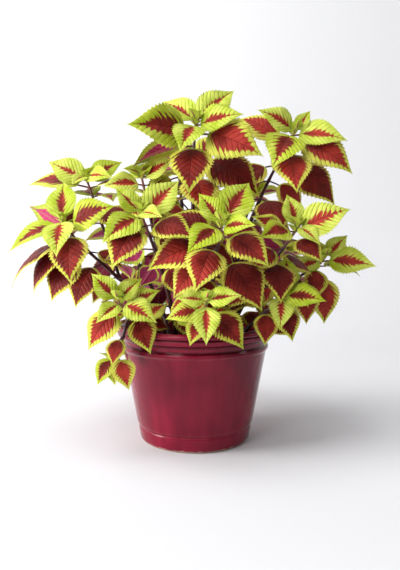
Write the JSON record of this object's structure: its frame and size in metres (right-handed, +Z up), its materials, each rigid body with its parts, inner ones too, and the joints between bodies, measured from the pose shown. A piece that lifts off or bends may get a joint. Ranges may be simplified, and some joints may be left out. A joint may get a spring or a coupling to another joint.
{
  "type": "potted coleus plant",
  "caption": "Bushy coleus with serrated lime and crimson leaves on square stems, growing in a round glazed pot with a rolled lip.",
  "frame": {"origin": "centre of the pot's flat underside", "axes": "+Z up, the plant's fullest side faces -Y, +X to its right"},
  "size_m": [0.4516, 0.3527, 0.4359],
  "materials": {
    "glaze": "gloss",
    "soil": "matte",
    "foliage": "satin"
  },
  "bodies": {
    "root": {"pot": "glaze", "potting_soil": "soil", "leafy_stem_top": "foliage", "leafy_stem_top_right": "foliage", "leafy_stem_left": "foliage", "leafy_stem_front_left": "foliage", "leafy_stem_centre": "foliage", "leafy_stem_front": "foliage", "leafy_stem_low_left": "foliage", "leafy_stem_right": "foliage", "leafy_stem_low_right": "foliage", "leafy_stem_back_top": "foliage", "leafy_stem_back_right": "foliage", "leafy_stem_back_left": "foliage", "leafy_stem_back": "foliage"}
  },
  "joints": []
}
